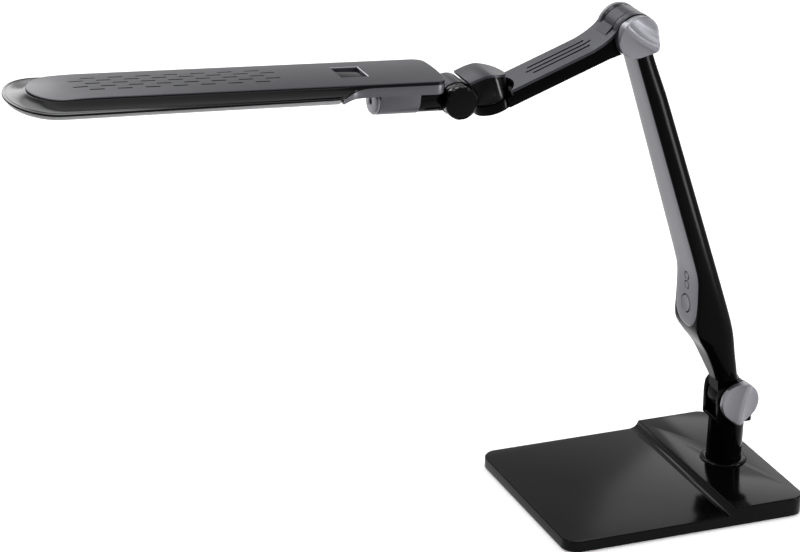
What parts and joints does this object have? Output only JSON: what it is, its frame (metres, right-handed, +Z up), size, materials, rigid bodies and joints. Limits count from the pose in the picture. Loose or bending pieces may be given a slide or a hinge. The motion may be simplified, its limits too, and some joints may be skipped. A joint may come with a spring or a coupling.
{
  "type": "folding LED desk lamp",
  "caption": "Black folding desk lamp with a weighted stepped base, two arms clamped by silver wing knobs, three keys and a long flat LED light bar on a swivelling wrist.",
  "frame": {"origin": "on the table, on the axis that the post swivels about", "axes": "+Z up; -X is where the head reaches at rest; Y is along the arms' hinge axes, +Y away from the wing knobs"},
  "size_m": [0.5947, 0.16, 0.391],
  "materials": {
    "gloss_black": "piano black, polished",
    "matte_black": "fine matt black",
    "satin_grey": "satin metallic grey paint on plastic",
    "silver_knob": "satin silver metallic on plastic",
    "dark_window": "dark tinted, polished",
    "diffuser": "opal, light-diffusing",
    "pad_rubber": "matt anti-slip foam rubber",
    "steel": "zinc-plated steel",
    "heat_sink_metal": "bare extruded",
    "circuit_board": "coated laminate",
    "diode": "phosphor-coated light diodes"
  },
  "bodies": {
    "base": {"base_shell": "gloss_black", "base_ballast": "steel", "base_plate": "matte_black", "base_pad": "pad_rubber", "base_screws": "steel", "power_inlet": "matte_black", "swivel_collar": "gloss_black"},
    "post": {"post": "gloss_black", "post_nut": "steel", "post_washers": "matte_black", "post_bolt": "steel", "post_cap": "gloss_black"},
    "post_knob": {"post_knob": "silver_knob"},
    "lower_arm": {"lower_shell": "gloss_black", "lower_facia": "satin_grey", "lower_screws": "steel", "key_board": "circuit_board", "key_switches": "steel", "elbow_cap_far": "satin_grey", "elbow_cap_near": "satin_grey", "elbow_bolt": "steel", "elbow_washers": "matte_black"},
    "power_key": {"power_key": "silver_knob"},
    "brighter_key": {"brighter_key": "silver_knob"},
    "dimmer_key": {"dimmer_key": "silver_knob"},
    "elbow_knob": {"elbow_knob": "silver_knob"},
    "upper_arm": {"upper_shell": "gloss_black", "upper_cover": "satin_grey", "upper_screws": "steel", "wrist_pivot": "steel", "wrist_nut": "steel"},
    "wrist": {"wrist_drum": "gloss_black", "wrist_cap": "satin_grey", "tilt_bolt": "steel", "tilt_washer": "steel"},
    "tilt_knob": {"tilt_knob": "gloss_black"},
    "tilt_bar": {"tilt_hub": "gloss_black", "hub_cover": "satin_grey", "roll_cap": "silver_knob"},
    "head": {"head_cover": "satin_grey", "head_rim": "gloss_black", "head_window": "dark_window", "heat_sink": "heat_sink_metal", "led_board": "circuit_board", "led_diodes": "diode", "diffuser": "diffuser", "head_neck": "satin_grey", "head_screws": "steel"}
  },
  "joints": [
    {"name": "base_swivel", "type": "hinge", "parent": "base", "child": "post", "pos_m": [0, 0, 0.0159], "axis": [0, 0, 1], "range_deg": [-90, 90]},
    {"name": "base_tilt", "type": "hinge", "parent": "post", "child": "lower_arm", "pos_m": [0, 0, 0.071], "axis": [0, -1, 0], "range_deg": [-50, 60]},
    {"name": "post_knob_turn", "type": "hinge", "parent": "post", "child": "post_knob", "pos_m": [0, -0.019, 0.071], "axis": [0, -1, 0], "range_deg": [-90, 90]},
    {"name": "elbow_fold", "type": "hinge", "parent": "lower_arm", "child": "upper_arm", "pos_m": [-0.10765, 0, 0.375], "axis": [0, -1, 0], "range_deg": [-85, 40]},
    {"name": "elbow_knob_turn", "type": "hinge", "parent": "lower_arm", "child": "elbow_knob", "pos_m": [-0.10765, -0.02, 0.375], "axis": [0, -1, 0], "range_deg": [-90, 90]},
    {"name": "power_press", "type": "slide", "parent": "lower_arm", "child": "power_key", "axis": [1, 0, 0.0017], "range_m": [0, 0.0008], "stiffness_N_per_m": 600},
    {"name": "brighter_press", "type": "slide", "parent": "lower_arm", "child": "brighter_key", "axis": [0.9913, 0, 0.1317], "range_m": [0, 0.0008], "stiffness_N_per_m": 600},
    {"name": "dimmer_press", "type": "slide", "parent": "lower_arm", "child": "dimmer_key", "axis": [0.9992, 0, 0.0401], "range_m": [0, 0.0008], "stiffness_N_per_m": 600},
    {"name": "wrist_swivel", "type": "hinge", "parent": "upper_arm", "child": "wrist", "pos_m": [-0.21196, 0, 0.33704], "axis": [-0.342, 0, 0.9397], "range_deg": [-90, 90]},
    {"name": "tilt_knob_turn", "type": "hinge", "parent": "wrist", "child": "tilt_knob", "pos_m": [-0.24089, -0.014, 0.33992], "axis": [0, -1, 0], "range_deg": [-90, 90]},
    {"name": "head_tilt", "type": "hinge", "parent": "wrist", "child": "tilt_bar", "pos_m": [-0.24089, 0, 0.33992], "axis": [0, 1, 0], "range_deg": [-50, 60]},
    {"name": "head_roll", "type": "hinge", "parent": "tilt_bar", "child": "head", "pos_m": [-0.24089, 0, 0.33992], "axis": [-0.9978, 0, 0.0663], "range_deg": [-90, 90]}
  ]
}
